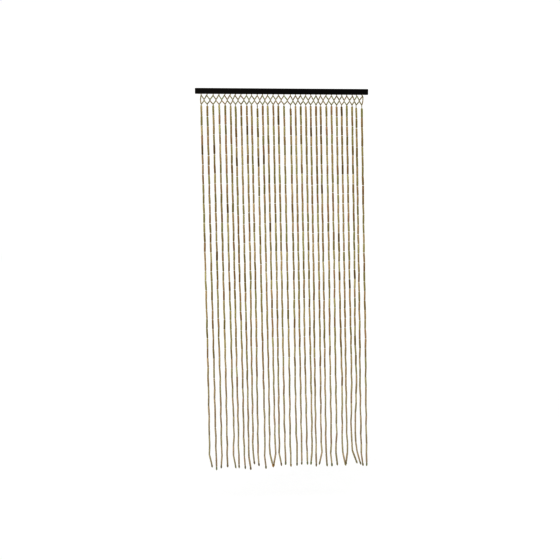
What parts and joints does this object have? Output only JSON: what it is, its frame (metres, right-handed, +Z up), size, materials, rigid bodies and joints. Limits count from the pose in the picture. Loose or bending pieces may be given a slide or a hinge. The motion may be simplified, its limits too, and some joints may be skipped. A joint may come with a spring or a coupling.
{
  "type": "bamboo strand door curtain with hanging rail",
  "caption": "Door curtain of short bamboo tubes threaded on strings, hanging in parted strands from a diamond-mesh heading below a flat black hanging rail.",
  "frame": {"origin": "centre of the rail's flat back face, which lies on the wall or door frame", "axes": "+X to the right seen from the front, +Y into the wall, +Z up"},
  "size_m": [0.9088, 0.0188, 2.0095],
  "materials": {
    "rail": "wooden batten in satin black paint",
    "bamboo": "thin bamboo cane in natural straw, olive and brown, with its own dull skin"
  },
  "bodies": {
    "root": {"rail": "rail", "net_and_strands": "bamboo"}
  },
  "joints": []
}
